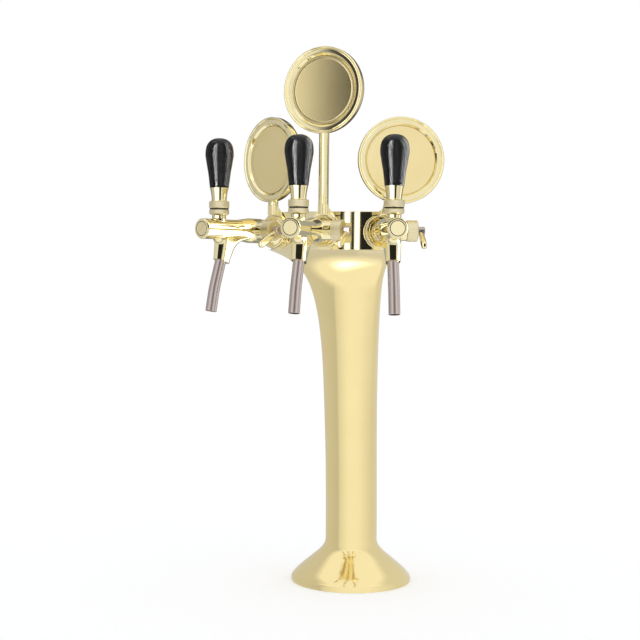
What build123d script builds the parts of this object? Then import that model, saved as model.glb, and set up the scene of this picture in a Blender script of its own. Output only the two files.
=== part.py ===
from build123d import *
import os
from math import atan2, cos, degrees, hypot, pi, radians, sin, sqrt

# Three-tap beer tower, in millimetres. Origin: centre of the foot's underside, +Z up, -Y to the drinker.

# Driving dimensions of the column
FOOT_R = 79.5
FOOT_TOP_Z = 56.0
COLUMN_R = 34.2
BORE_INSET = 3.2           # wall of the casting where it is upright
LEAN_Y = -8.0              # how far the upper column leans forward
SHOULDER_Z = 439.0
LID_Z = 483.0
LID_T = 3.0
LEDGE_T = 3.0              # thickness of the flat shoulder under the head
FLARE_START_Z = 150.0      # round up to here, fan-shaped at the shoulder
FLARE_STEPS = 18
FLARE_SAMPLES = 48

# The fan that carries the taps
FAN_Y = 42.0               # centre of the fan, behind the column axis
LIP_R = 176.0              # shoulder lip, from the fan's centre
LIP_CORNER_R = 19.0
CORNER_ANGLE = 24.8        # each side of straight ahead
BACK_R = 31.0              # round back of the head, about the column axis
FAN_MIDDLE_Y = -80.0       # a point well inside the fan outline
WALL_INSET = 5.0           # from the lip to the head wall
WALL_T = 4.0
MOUTH_INSET = 12.0
PAD_R = 22.0
PAD_FACE_R = 172.0         # flat pad faces, from the fan's centre

# Steel base
RING_R = 71.5
RING_BORE_R = 30.0
GASKET_T = 1.2
RING_T = 6.0
HOLD_DOWN_PCD = 104.0
HOLD_DOWN_R = 4.2
HOLD_DOWN_COUNT = 4
FIXING_PCD = 120.0

# Taps. u runs forward from the flange plane, b to the tap's own right side, h up from its barrel axis.
SIDES = {"left": -1, "middle": 0, "right": 1}
TAP_ANGLE = 23.5
TAP_Z = 461.0
FLANGE_PLANE_R = 177.5     # u = 0, from the fan's centre
SEAT_U = PAD_FACE_R - FLANGE_PLANE_R
INNER_PAD_U = SEAT_U - 8.7
SHANK_R = 8.0
FLANGE_R = 20.5
BARREL_R = 12.25
BULGE_R = 15.2
FRONT_U = 124.0
LEVER_U = 95.0
PIVOT_H = 14.0
PIVOT_PIN_R = 0.9
SPINDLE_U = 37.0
HOUSING_B = 37.0
HEAD_R = 5.2               # steel head of the spindle
PADDLE_B = 41.1            # middle of the paddle's thickness
PADDLE_DROP = 33.0         # degrees below straight ahead
SPOUT_U = 91.0
SPOUT_R = 8.5
# the web behind the spout: how far forward its rear edge is centred (u), level by level (h)
WEB = ((60.0, -4.0), (66.5, -9.5), (72.0, -11.0), (76.8, -13.5), (80.5, -18.5), (83.2, -23.5),
       (86.0, -32.0), (88.0, -38.0), (88.0, -48.0))
OUTLET_U = 92.0
OUTLET_H = -38.0
OUTLET_TILT = 17.0         # of the steel outlet from plumb, forward
TUBE_R = 6.75
TUBE_BORE_R = 5.6
RUN_GAP = 0.06             # radial clearance of parts that turn or slide in each other

# Medallions
MEDALLION_R = 53.0
PLATE_R = 41.8
POLE_R = 6.2
POLE_U = 0.8
POLE_FOOT_H = 33.0
MEDALLION_FACE_U = 8.0
MEDALLION_H = {"left": 90.0, "middle": 172.5, "right": 90.0}
MEDALLION_LEAN = {"left": 0.0, "middle": 0.0, "right": 14.0}
MEDALLION_TURN = {"left": -8.0, "middle": -8.0, "right": 0.0}

# Hoses inside the column
LINE_R = 4.75
LINE_WALL = 1.4
COOL_R = 4.0
COOL_WALL = 0.8


def turned(profile):
    """Solid of revolution about Z, from closed (radius, height) points."""
    return revolve(make_face(Polyline(*[(r, 0, z) for r, z in profile], close=True)), Axis.Z)


def rod(radius, low, high, x=0.0, y=0.0):
    """Upright cylinder between two heights."""
    return Pos(x, y, low) * Cylinder(radius, high - low, align=(Align.CENTER, Align.CENTER, Align.MIN))


def block(x, y, z):
    """Box between (low, high) pairs along each axis."""
    size = [high - low for low, high in (x, y, z)]
    return Pos(x[0], y[0], z[0]) * Box(*size, align=(Align.MIN, Align.MIN, Align.MIN))


def forward(shape):
    """Turn a part made along +Z so that it lies along the barrel, +Z to -Y."""
    return Rot(90, 0, 0) * shape


def sideways(shape):
    """Turn a part made along +Z so that it lies along +X, the tap's own right."""
    return Rot(0, 90, 0) * shape


def around(shape, count, pcd, first=0.0):
    """Copies of a part that stands on the X axis, spread round the Z axis."""
    return [Rot(0, 0, first + 360.0 * k / count) * Pos(pcd / 2, 0, 0) * shape for k in range(count)]


# ---------------------------------------------------------------- the fan outline

def corner_centre():
    """Centre of the fan's right front corner, shared by lip, wall and lid."""
    reach = LIP_R - LIP_CORNER_R
    angle = radians(CORNER_ANGLE)
    return reach * sin(angle), FAN_Y - reach * cos(angle)


def fan_face(inset):
    """Fan outline, set in from the lip: round back, straight sides, round corners, curved front."""
    cx, cy = corner_centre()
    back_r = BACK_R - inset
    corner_r = LIP_CORNER_R - inset
    drop = back_r - corner_r
    tilt = atan2(cy, cx) + pi / 2 + atan2(drop, sqrt(cx * cx + cy * cy - drop * drop))
    side = (cos(tilt), sin(tilt))
    front = (sin(radians(CORNER_ANGLE)), -cos(radians(CORNER_ANGLE)))
    middle = (side[0] + front[0], side[1] + front[1])
    middle = [m / hypot(*middle) for m in middle]
    back = [(s * back_r * side[0], back_r * side[1]) for s in (1, -1)]
    starts = [(s * (cx + corner_r * side[0]), cy + corner_r * side[1]) for s in (1, -1)]
    mids = [(s * (cx + corner_r * middle[0]), cy + corner_r * middle[1]) for s in (1, -1)]
    ends = [(s * (cx + corner_r * front[0]), cy + corner_r * front[1]) for s in (1, -1)]
    return make_face([
        ThreePointArc(back[1], (0, back_r), back[0]),
        Line(back[0], starts[0]),
        ThreePointArc(starts[0], mids[0], ends[0]),
        ThreePointArc(ends[0], (0, FAN_Y - LIP_R + inset), ends[1]),
        ThreePointArc(ends[1], mids[1], starts[1]),
        Line(starts[1], back[1]),
    ])


def fan_support(angle):
    """How far the lip outline reaches in a direction, from the column axis."""
    cx, cy = corner_centre()
    nx, ny = cos(angle), sin(angle)
    reach = max(BACK_R, abs(nx) * cx + ny * cy + LIP_CORNER_R)
    if degrees(atan2(abs(nx), -ny)) < CORNER_ANGLE:
        reach = max(reach, ny * FAN_Y + LIP_R)
    return reach


def fan_radius(angle):
    """Distance from the fan's middle to the lip outline, in a direction."""
    best = 1e9
    for step in range(-88, 89, 2):
        normal = angle + radians(step)
        reach = fan_support(normal) - sin(normal) * FAN_MIDDLE_Y
        best = min(best, reach / cos(radians(step)))
    return best


def lean(z):
    """Forward lean of the round column at a height."""
    t = min(max((z - FOOT_TOP_Z) / 220.0, 0.0), 1.0)
    return LEAN_Y * t * t * (3 - 2 * t)


def fan_share(z):
    """How far the section has gone from round column (0) to fan outline (1) at a height."""
    t = max(z - FLARE_START_Z, 0.0) / (SHOULDER_Z - FLARE_START_Z)
    return 0.13 * t ** 1.5 + 0.4 * t ** 5 + 0.47 * t ** 20


def flare_heights(top_z):
    """Section heights, closer together towards the shoulder."""
    rise = [1 - (1 - k / FLARE_STEPS) ** 1.5 for k in range(1, FLARE_STEPS + 1)]
    lower = (FOOT_TOP_Z, (FOOT_TOP_Z + FLARE_START_Z) / 2, FLARE_START_Z)
    return [*lower, *(FLARE_START_Z + r * (top_z - FLARE_START_Z) for r in rise)]


def flare_section(z, share, inset):
    """One closed section of the column, part way from the round tube to the fan."""
    if share == 0:
        return Pos(0, lean(z), z) * make_face(Circle(COLUMN_R - inset).edges())
    centre_y = (1 - share) * lean(z) + share * FAN_MIDDLE_Y
    points = []
    for k in range(FLARE_SAMPLES):
        angle = 2 * pi * (k + 0.5) / FLARE_SAMPLES
        radius = (1 - share) * COLUMN_R + share * fan_radius(angle) - inset
        points.append((radius * cos(angle), centre_y + radius * sin(angle), z))
    return make_face(Spline(*points, periodic=True))


# ---------------------------------------------------------------- column and head

def foot_profile(rim_r, spline_points):
    """Half section of the foot, closed on the axis."""
    rim_z = spline_points[0][1]
    top_z = spline_points[-1][1]
    top_r = spline_points[-1][0]
    curve = Spline(*[(r, 0, z) for r, z in spline_points], tangents=((0, 0, 1), (0, 0, 1)))
    return make_face([
        Line((0, 0, 0), (rim_r, 0, 0)), Line((rim_r, 0, 0), (rim_r, 0, rim_z)), curve,
        Line((top_r, 0, top_z), (0, 0, top_z)), Line((0, 0, top_z), (0, 0, 0))])


def foot_solid(inset):
    """Trumpet foot, or with an inset the hollow inside it."""
    points = ((FOOT_R - inset, 4.5 - inset / 2), (76.8 - inset, 9.0 - inset / 2),
              (71.0 - 0.7 * inset, 15.4 - 0.7 * inset),
              (52.0 - 0.64 * inset, 31.6 - 0.77 * inset), (42.5 - 0.75 * inset, 39.8 - 0.7 * inset),
              (36.2 - 0.93 * inset, 47.8 - 0.4 * inset), (COLUMN_R - inset, FOOT_TOP_Z))
    return revolve(foot_profile(FOOT_R - inset, points), Axis.Z)


def make_column_shell():
    """Polished hollow casting: foot, column, flare and the shoulder under the head."""
    ring_top = GASKET_T + RING_T
    foot = foot_solid(0.0)
    ceiling = SHOULDER_Z - LEDGE_T
    outer = loft([flare_section(z, fan_share(z), 0.0) for z in flare_heights(SHOULDER_Z)], ruled=True)
    inner = [flare_section(z, fan_share(z - LEDGE_T), BORE_INSET) for z in flare_heights(ceiling)]
    bore = loft(inner, ruled=True)
    mouth = Pos(0, 0, ceiling - 0.2) * extrude(fan_face(MOUTH_INSET), 10.0)
    bosses = Part() + around(rod(5.5, ring_top, 17.0), HOLD_DOWN_COUNT, FIXING_PCD, 45.0)
    holes = Part() + around(rod(2.5, ring_top - 1, 15.5), HOLD_DOWN_COUNT, FIXING_PCD, 45.0)
    hollow_foot = foot - foot_solid(BORE_INSET) + ((bosses & foot) - holes)
    return hollow_foot + (outer - bore - mouth)


def make_base_gasket():
    """Soft ring between the steel ring and the counter."""
    gasket = rod(FOOT_R - BORE_INSET - 0.5, 0, GASKET_T) - rod(40.0, -1, GASKET_T + 1)
    holes = around(rod(HOLD_DOWN_R, -1, GASKET_T + 1), HOLD_DOWN_COUNT, HOLD_DOWN_PCD)
    holes += around(rod(5.2, -1, GASKET_T + 1), HOLD_DOWN_COUNT, FIXING_PCD, 45.0)
    return gasket - holes


def make_base_ring():
    """Steel ring with the holes that the counter bolts pass through."""
    low, high = GASKET_T, GASKET_T + RING_T
    ring = rod(RING_R, low, high) - rod(RING_BORE_R, low - 1, high + 1)
    holes = around(rod(HOLD_DOWN_R, low - 1, high + 1), HOLD_DOWN_COUNT, HOLD_DOWN_PCD)
    recess = rod(2.7, low - 1, high + 1) + rod(4.5, low - 1, low + 3.4)
    return ring - holes - around(recess, HOLD_DOWN_COUNT, FIXING_PCD, 45.0)


def make_ring_screws():
    """Cap screws that hold the steel ring up in the foot."""
    low = GASKET_T + 0.2
    screw = rod(4.25, low, low + 3.2) + rod(2.45, low + 3, 15.0)
    socket = Pos(0, 0, low) * extrude(RegularPolygon(2.0, 6), 1.8)
    return Compound(around(screw - socket, HOLD_DOWN_COUNT, FIXING_PCD, 45.0))


def lid_screw_places():
    """Where the three lid screws stand: between the taps and at the back."""
    reach = LIP_R - WALL_INSET - WALL_T - 4.0
    angle = radians(TAP_ANGLE / 2)
    front = (reach * sin(angle), FAN_Y - reach * cos(angle))
    return (front, (-front[0], front[1]), (0.0, 17.5))


def make_head_wall():
    """Mirror-polished band on the shoulder, with a flat pad for each tap."""
    height = LID_Z - SHOULDER_Z
    hollow = Pos(0, 0, SHOULDER_Z - 9) * extrude(fan_face(WALL_INSET + WALL_T), height + 20)
    filled = Pos(0, 0, SHOULDER_Z) * extrude(fan_face(WALL_INSET), height)
    wall = filled + [tap_place(i) * forward(rod(PAD_R, SEAT_U - 4.0, SEAT_U)) for i in SIDES.values()]
    wall -= hollow
    wall += [tap_place(i) * forward(rod(12.0, INNER_PAD_U, SEAT_U - 3.0)) & filled for i in SIDES.values()]
    for x, y in lid_screw_places():
        wall += rod(6.0, SHOULDER_Z + 5, LID_Z, x, y) & filled
        wall -= rod(2.0, LID_Z - 12, LID_Z + 1, x, y)
    for i in SIDES.values():
        wall -= tap_place(i) * forward(rod(SHANK_R, SEAT_U - 25, SEAT_U + 5))
    return wall


def make_head_lid():
    """Flat lid, flush with the wall."""
    lid = Pos(0, 0, LID_Z) * extrude(fan_face(WALL_INSET), LID_T)
    for x, y in lid_screw_places():
        lid -= Pos(x, y, LID_Z) * turned(((0, -1), (2.2, -1), (2.2, 0.8), (4.2, 2.8), (4.2, 4), (0, 4)))
    return lid


def make_lid_screws():
    """Countersunk screws of the lid."""
    screw = turned(((0, -11), (1.95, -11), (1.95, 0.7), (4.1, 2.9), (0, 2.9)))
    slot = block((-4.5, 4.5), (-0.5, 0.5), (1.7, 4))
    return Compound([Pos(x, y, LID_Z) * (screw - slot) for x, y in lid_screw_places()])


# ---------------------------------------------------------------- inside the column

def hose(points, radii, outer_r, wall):
    """Hollow tube along straight runs joined by arcs."""
    path = FilletPolyline(*points, radius=radii)
    start = Plane(origin=points[0], z_dir=Vector(*points[1]) - Vector(*points[0]))
    ring = start * (Circle(outer_r) - Circle(outer_r - wall))
    return sweep(ring, path)


def line_route(i):
    """Route of one beer line, from the tail of its shank down to the foot."""
    angle = radians(i * TAP_ANGLE)
    tail_r = FLANGE_PLANE_R - 50.5
    bend_r = FLANGE_PLANE_R - 96.0
    tail = (tail_r * sin(angle), FAN_Y - tail_r * cos(angle), TAP_Z)
    bend = (bend_r * sin(angle), FAN_Y - bend_r * cos(angle), TAP_Z)
    foot_x = 11.0 * i
    foot_y = 15.0 if i == 0 else 10.0
    return (tail, bend, (foot_x, foot_y - 4.0, 372.0), (foot_x, foot_y, 240.0), (foot_x, foot_y, 9.0))


def make_beer_lines():
    """Three lines, one to each tap."""
    return Compound([hose(line_route(i), [20.0, 60.0, 200.0], LINE_R, LINE_WALL) for i in SIDES.values()])


def make_cooling_loop():
    """Chilled-water tube that rises, passes under the shanks and goes back down."""
    side = 21.0
    route = ((-side, -4, 9), (-side, -4, 330), (-side - 6, -44, 424), (side + 6, -44, 424), (side, -4, 330),
             (side, -4, 9))
    return hose(route, [90.0, 18.0, 18.0, 90.0], COOL_R, COOL_WALL)


# ---------------------------------------------------------------- taps: fixed pieces

def tap_place(i):
    """Places a piece made in tap coordinates (x = b, y = -u, z = h)."""
    return Pos(0, FAN_Y, TAP_Z) * Rot(0, 0, i * TAP_ANGLE) * Pos(0, -FLANGE_PLANE_R, 0)


def make_shank():
    """Threaded tail that clamps the tap to the wall, with a hose barb."""
    outline = ((2.3, -66.0), (2.9, -66.0), (3.3, -63.0), (2.9, -62.8), (3.3, -59.5), (2.9, -59.3),
               (2.9, -50.0), (SHANK_R, -50.0), (SHANK_R, 15.5), (4.2, 15.5), (4.2, -46.0), (2.3, -48.0))
    return forward(turned(outline))


def make_shank_nut():
    """Nut on the inside of the wall."""
    nut = Pos(0, 0, INNER_PAD_U - 8.0) * extrude(RegularPolygon(11.2, 6), 8.0)
    return forward(nut - rod(SHANK_R, -60, 20))


def make_hose_clamp():
    """Ear clamp that holds a line on its barb."""
    return forward(rod(6.2, -57.0, -51.0) - rod(LINE_R, -60, -50))


def make_tap_flange():
    """Beaded rosette between the tap and the medallion bracket."""
    outline = ((SHANK_R, -1.5), (FLANGE_R, -1.5), (FLANGE_R, 1.4), (19.7, 2.4), (18.6, 2.4), (17.9, 1.6),
               (15.6, 3.2), (14.2, 6.0), (13.6, 9.0), (SHANK_R, 9.0))
    return forward(turned(outline))


def web_radius(h):
    """Radius of the web's rear edge at a height; it thins towards the spout's mouth."""
    t = min(max((-11.0 - h) / 27.0, 0.0), 1.0)
    return 11.0 - 2.7 * t * t


def web_section(u, h):
    """Outline round the spout and the web's rear edge at one level."""
    r = web_radius(h)
    ny = (SPOUT_R - r) / (SPOUT_U - u)
    nx = sqrt(1 - ny * ny)
    front = [(s * nx * SPOUT_R, ny * SPOUT_R - SPOUT_U) for s in (-1, 1)]
    rear = [(s * nx * r, ny * r - u) for s in (-1, 1)]
    return Pos(0, 0, h) * make_face([
        ThreePointArc(front[0], (0, -SPOUT_U - SPOUT_R), front[1]), Line(front[1], rear[1]),
        ThreePointArc(rear[1], (0, r - u), rear[0]), Line(rear[0], front[0])])


def make_spout():
    """Spout and the thick web behind it, which sweeps back up to the underside of the barrel."""
    return loft([web_section(u, h) for u, h in WEB], ruled=True)


def outlet_place():
    """Where the steel outlet leaves the spout, +Z pointing down along the tube."""
    return Pos(0, -OUTLET_U, OUTLET_H) * Rot(180 - OUTLET_TILT, 0, 0)


def make_tap_body():
    """Barrel, spout, web, lever boss and compensator boss, cast in one and bored through."""
    barrel = forward(turned((
        (0, 9.0), (13.4, 9.0), (14.6, 20.0), (BULGE_R, 28.0), (BULGE_R, 45.0), (14.0, 54.0), (12.7, 63.0),
        (BARREL_R, 72.0), (BARREL_R, FRONT_U - 1.2), (11.4, FRONT_U), (0, FRONT_U))))
    lever_boss = rod(8.7, 0.0, 13.0, 0, -LEVER_U)
    side_boss = Pos(0, -SPINDLE_U, 0) * sideways(rod(11.8, 0.0, 24.0))
    body = barrel + make_spout() + lever_boss + side_boss
    below = outlet_place() * block((-30, 30), (-40, 40), (0, 40))
    body -= below
    bore = forward(turned((
        (0, 0.0), (SHANK_R, 0.0), (SHANK_R, 16.0), (7.0, 16.0), (9.4, 56.0), (9.4, 72.0), (6.02, 76.5),
        (6.02, 86.0), (9.0, 88.0), (9.0, 118.0), (10.1, 118.0), (10.1, FRONT_U + 1), (0, FRONT_U + 1))))
    body -= bore
    body -= outlet_place() * rod(TUBE_R, -14.0, 1.0)
    body -= rod(4.8, -30.0, 0.0, 0, -OUTLET_U)
    body -= rod(6.0, 0.0, 11.2, 0, -LEVER_U) + rod(7.0, 11.2, 14.0, 0, -LEVER_U)
    body -= Pos(0, -SPINDLE_U, 0) * sideways(rod(4.6, 0.0, 25.0))
    return body


def make_front_plug():
    """Slotted plug that closes the barrel and guides the plunger."""
    plug = rod(8.98, 104.0, 119.5) + rod(9.25, 118.0, FRONT_U + 0.3)
    plug -= rod(5.0 + RUN_GAP, 103.0, 118.0)
    slot = block((-0.7, 0.7), (-10, 10), (FRONT_U - 1.0, FRONT_U + 1))
    return forward(plug - slot)


def make_plug_seal():
    """Black ring round the front plug."""
    return forward(rod(10.1, 118.0, FRONT_U - 0.2) - rod(9.25, 117.0, FRONT_U + 1))


def make_pivot_collar():
    """Socket ring on the lever boss that holds the lever's ball and its pin."""
    collar = rod(6.98, 11.2, 13.0) + rod(8.4, 13.0, 16.8)
    collar -= Pos(0, 0, PIVOT_H) * (Sphere(5.0 + RUN_GAP) + sideways(rod(PIVOT_PIN_R + RUN_GAP, -6.9, 6.9)))
    return Pos(0, -LEVER_U, 0) * collar


def make_compensator_housing():
    """Gland that carries the compensator spindle."""
    outline = ((4.0 + RUN_GAP, 24.0), (12.2, 24.0), (12.8, 24.6), (12.8, HOUSING_B - 0.6),
               (12.2, HOUSING_B), (7.0, HOUSING_B), (6.4, HOUSING_B - 1.0),
               (4.0 + RUN_GAP, HOUSING_B - 1.0))
    return Pos(0, -SPINDLE_U, 0) * sideways(turned(outline))


def make_outlet_tube():
    """Slim steel outlet, bent a little back towards plumb half way down."""
    straight = 12.0
    bend_angle = 6.0
    bend_r = 150.0
    run = 35.0
    tail = 27.5
    side = radians(bend_angle)
    points = [(0, 0, -straight), (0, 0, run)]
    points.append((0, -tail * sin(side), run + tail * cos(side)))
    tube = hose(points, [bend_r], TUBE_R, TUBE_R - TUBE_BORE_R)
    return outlet_place() * tube


# ---------------------------------------------------------------- medallions

def leaning(shape, side):
    """Leans a medallion piece about the tap's axis."""
    return Rot(0, MEDALLION_LEAN[side], 0) * shape


def make_medallion_bracket(side):
    """Keyhole plate clamped behind the tap's flange, with the socket for the pole."""
    outline = make_hull([*Circle(21.0).edges(), *(Pos(0, 23.0) * Circle(8.0)).edges()])
    plate = Rot(90, 0, 0) * Pos(0, 0, -1.5 - 4.0) * extrude(outline, 4.0)
    socket = rod(6.9, 21.2, POLE_FOOT_H, 0, -POLE_U)
    socket -= block((-10, 10), (-SEAT_U - 0.1, 20), (20, 40))
    plate += socket
    plate -= forward(rod(SHANK_R, -20, 20))
    return leaning(plate - rod(4.0, 24.0, 40.0, 0, -POLE_U), side)


def make_medallion_pole(side):
    """Round pole with a threaded stud at each end."""
    top = MEDALLION_H[side] - MEDALLION_R
    pole = rod(POLE_R, POLE_FOOT_H, top + 1.0, 0, -POLE_U)
    pole -= Pos(0, 0, MEDALLION_H[side]) * medallion_place(side) * forward(rod(MEDALLION_R, -40, 40))
    return leaning(pole + rod(3.95, 24.5, top + 8.0, 0, -POLE_U), side)


def medallion_place(side):
    """Turns a medallion piece about its pole."""
    return Pos(0, -POLE_U, 0) * Rot(0, 0, MEDALLION_TURN[side]) * Pos(0, POLE_U, 0)


def make_medallion_rim(side):
    """Deep round holder with a beaded front ring."""
    face = MEDALLION_FACE_U
    outline = ((0, face - 15.0), (40.0, face - 15.0), (48.5, face - 13.2), (52.0, face - 10.0),
               (MEDALLION_R, face - 7.0), (MEDALLION_R, face - 1.2), (52.3, face - 0.3), (51.6, face),
               (50.9, face - 0.3), (50.2, face - 1.3), (49.5, face - 0.7), (45.0, face - 0.7),
               (42.4, face - 3.2), (42.0, face - 5.0), (40.0, face - 5.0), (40.0, face - 6.2),
               (49.5, face - 6.2), (49.5, face - 10.0), (46.0, face - 12.0), (40.0, face - 13.0),
               (0, face - 13.0))
    rim = forward(turned(outline)) + block((-6, 6), (-2.3, 3.6), (-49.8, -41.0))
    hole = rod(4.0, -60.0, -44.5, 0, -POLE_U)
    placed = Pos(0, 0, MEDALLION_H[side]) * medallion_place(side) * (rim - hole)
    return leaning(placed, side)


def make_medallion_plate(side):
    """Plain disc let into the holder."""
    face = MEDALLION_FACE_U
    disc = forward(rod(PLATE_R, face - 5.0, face - 3.6))
    return leaning(Pos(0, 0, MEDALLION_H[side]) * medallion_place(side) * disc, side)


# ---------------------------------------------------------------- taps: moving pieces

def make_lever():
    """Cup, stem, ball and pins: the metal heart of the handle."""
    cup = turned(((0, 18.4), (11.2, 18.4), (12.0, 19.2), (12.0, 24.4), (11.2, 25.2), (9.4, 25.2),
                  (9.4, 27.2), (0, 27.2)))
    cup -= Pos(0, 0, PIVOT_H) * Sphere(9.2)
    stem = rod(2.2, PIVOT_H, 24.0) + rod(3.0, 24.0, 60.0) + rod(1.8, 0.0, PIVOT_H)
    stem += Pos(0, 0, PIVOT_H) * (Sphere(5.0) + sideways(rod(PIVOT_PIN_R, -6.7, 6.7))) + Sphere(2.2)
    return Pos(0, -LEVER_U, 0) * (cup + stem)


def make_lock_ring():
    """Knurled ring that locks the handle on the lever."""
    outline = ((3.0, 27.2), (11.6, 27.2), (12.2, 27.8), (12.2, 34.4), (11.6, 35.0), (3.0, 35.0))
    return Pos(0, -LEVER_U, 0) * turned(outline)


def make_ferrule():
    """Conical metal foot of the grip."""
    outline = ((3.0, 35.0), (9.6, 35.0), (9.0, 36.2), (9.0, 37.0), (11.2, 51.0), (3.0, 51.0))
    return Pos(0, -LEVER_U, 0) * turned(outline)


def make_grip():
    """Black pear-shaped grip."""
    top = 109.0
    side = Spline((11.5, 0, 51.0), (13.3, 0, 66.0), (15.7, 0, 80.0), (17.0, 0, 90.5), (15.0, 0, 101.0),
                  (9.0, 0, 107.2), (0, 0, top), tangents=((0.12, 0, 1), (-1, 0, 0)))
    face = make_face([Line((0, 0, 51.0), (11.5, 0, 51.0)), side, Line((0, 0, top), (0, 0, 51.0))])
    return Pos(0, -LEVER_U, 0) * (revolve(face, Axis.Z) - rod(3.0, 50.0, 60.5))


def make_plunger():
    """Spool valve that the lever's pin slides along the barrel."""
    spool = turned(((0, 78.0), (5.95, 78.0), (5.95, 82.0), (3.5, 82.0), (3.5, 87.0), (5.0, 87.0),
                    (5.0, 112.0), (0, 112.0)))
    spool = forward(spool)
    spool -= block((-2.6, 2.6), (-LEVER_U - 2.75, -LEVER_U + 2.75), (-2.7, 6.0))
    spool -= block((-2.6, 2.6), (-LEVER_U - 4.7, -LEVER_U + 4.7), (2.3, 6.0))
    return spool


def make_flow_cone():
    """Tapered plug of the compensator, slid along the bore by the spindle."""
    cone = forward(turned(((0, 21.0), (4.5, 21.0), (6.3, 24.0), (8.4, 51.0), (7.0, 54.0), (0, 56.0))))
    cone -= block((4.6, 12), (-SPINDLE_U - 8.0, -SPINDLE_U + 8.0), (-12, 12))
    return cone - block((0.6, 12), (-SPINDLE_U - 1.55, -SPINDLE_U + 1.55), (-5.6, 5.6))


def on_paddle(shape):
    """Turns a piece drawn along +X, as thick as it is high, to where the paddle points from its spindle."""
    return Pos(0, -SPINDLE_U, 0) * Rot(PADDLE_DROP, 0, 0) * sideways(Rot(0, 0, -90) * shape)


def paddle_stud(low):
    """Round stud that holds the paddle in the spindle's head."""
    return Pos(0, 0, PADDLE_B) * Rot(0, 90, 0) * rod(1.6, low, HEAD_R + 2.5)


def make_spindle():
    """Steel spindle with a round head at its outer end and an eccentric pin at its inner end."""
    shaft = turned(((0, 5.2), (4.0, 5.2), (4.0, 38.0), (4.8, 38.0), (HEAD_R, 38.4), (HEAD_R, 45.0),
                    (4.2, 46.0), (0, 46.3)))
    pin = rod(1.2, 1.2, 6.0, 2.6, 0)
    return Pos(0, -SPINDLE_U, 0) * sideways(shaft + pin) - on_paddle(paddle_stud(1.2))


def make_paddle():
    """Slim leaf-shaped finger lever that stands out of the spindle's head."""
    half = 2.7
    circles = [Pos(7.0, 0) * Circle(2.6), Pos(24.0, 0) * Circle(4.5), Pos(31.7, 0) * Circle(4.3)]
    outline = make_hull([edge for circle in circles for edge in circle.edges()])
    leaf = Pos(0, 0, PADDLE_B - half) * extrude(outline, 2 * half)
    leaf -= rod(HEAD_R, PADDLE_B - 10, PADDLE_B + 10)
    return on_paddle(leaf + paddle_stud(1.2))


# ---------------------------------------------------------------- assembly

def on_taps(piece):
    """The same piece on all three taps, as separate solids of one node."""
    return Compound([tap_place(i) * piece for i in SIDES.values()])


def build():
    """Every node of the tower, by name."""
    nodes = {
        "column_shell": make_column_shell(),
        "base_gasket": make_base_gasket(),
        "base_ring": make_base_ring(),
        "ring_screws": make_ring_screws(),
        "head_wall": make_head_wall(),
        "head_lid": make_head_lid(),
        "lid_screws": make_lid_screws(),
        "beer_lines": make_beer_lines(),
        "cooling_loop": make_cooling_loop(),
        "tap_shanks": on_taps(make_shank()),
        "shank_nuts": on_taps(make_shank_nut()),
        "hose_clamps": on_taps(make_hose_clamp()),
        "tap_flanges": on_taps(make_tap_flange()),
        "front_plugs": on_taps(make_front_plug()),
        "plug_seals": on_taps(make_plug_seal()),
        "pivot_collars": on_taps(make_pivot_collar()),
        "compensator_housings": on_taps(make_compensator_housing()),
    }
    per_tap = {
        "tap_body": make_tap_body(), "outlet_tube": make_outlet_tube(), "lever": make_lever(),
        "lock_ring": make_lock_ring(), "ferrule": make_ferrule(), "grip": make_grip(),
        "plunger": make_plunger(), "flow_cone": make_flow_cone(), "spindle": make_spindle(),
        "paddle": make_paddle(),
    }
    for side, i in SIDES.items():
        for name, piece in per_tap.items():
            nodes[f"{side}_{name}"] = tap_place(i) * piece
        nodes[f"{side}_medallion_bracket"] = tap_place(i) * make_medallion_bracket(side)
        nodes[f"{side}_medallion_pole"] = tap_place(i) * make_medallion_pole(side)
        nodes[f"{side}_medallion_rim"] = tap_place(i) * make_medallion_rim(side)
        nodes[f"{side}_medallion_plate"] = tap_place(i) * make_medallion_plate(side)
    return nodes


os.makedirs("parts", exist_ok=True)
for node, shape in build().items():
    export_step(shape, f"parts/{node}.step")
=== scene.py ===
import math

import bpy
from mathutils import Matrix, Vector


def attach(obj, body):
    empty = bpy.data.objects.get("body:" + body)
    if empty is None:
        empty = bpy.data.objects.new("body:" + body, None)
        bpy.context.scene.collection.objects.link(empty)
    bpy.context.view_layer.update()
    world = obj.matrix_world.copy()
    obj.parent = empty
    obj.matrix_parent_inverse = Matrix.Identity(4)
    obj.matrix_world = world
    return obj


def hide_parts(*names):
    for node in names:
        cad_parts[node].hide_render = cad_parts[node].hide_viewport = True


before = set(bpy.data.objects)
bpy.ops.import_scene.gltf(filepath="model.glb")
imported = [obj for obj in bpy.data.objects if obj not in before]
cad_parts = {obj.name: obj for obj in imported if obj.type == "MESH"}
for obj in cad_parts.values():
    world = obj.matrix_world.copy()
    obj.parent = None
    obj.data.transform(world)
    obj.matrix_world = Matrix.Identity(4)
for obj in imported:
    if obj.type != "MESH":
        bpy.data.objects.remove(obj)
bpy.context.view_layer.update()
bpy.ops.object.select_all(action="DESELECT")

# ------------------------------------------------------------------ studio
# A pale floor and a white room, with one camera in front of the taps and a little to their right.
# Polished metal mirrors round rooms of lit paper, mostly bright in front and darker behind. The paper is seen
# only in reflections, and each group of pieces has its own, so every row of the tower is lit by itself.
MM = 0.001
CAMERA_AZIMUTH = 16.5

scene = bpy.context.scene
scene.view_settings.view_transform = "Standard"

bpy.ops.object.camera_add()
camera = bpy.context.object
camera.data.sensor_width = 36.0
camera.data.lens = 72.83
camera.matrix_world = (
    Matrix.Translation((0.4903, -1.6551, 0.4070))
    @ Matrix.Rotation(math.radians(CAMERA_AZIMUTH + 1.49), 4, "Z")
    @ Matrix.Rotation(math.radians(90.0 - 1.98), 4, "X")
    @ Matrix.Rotation(math.radians(0.61), 4, "Z")
)
scene.camera = camera


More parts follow.
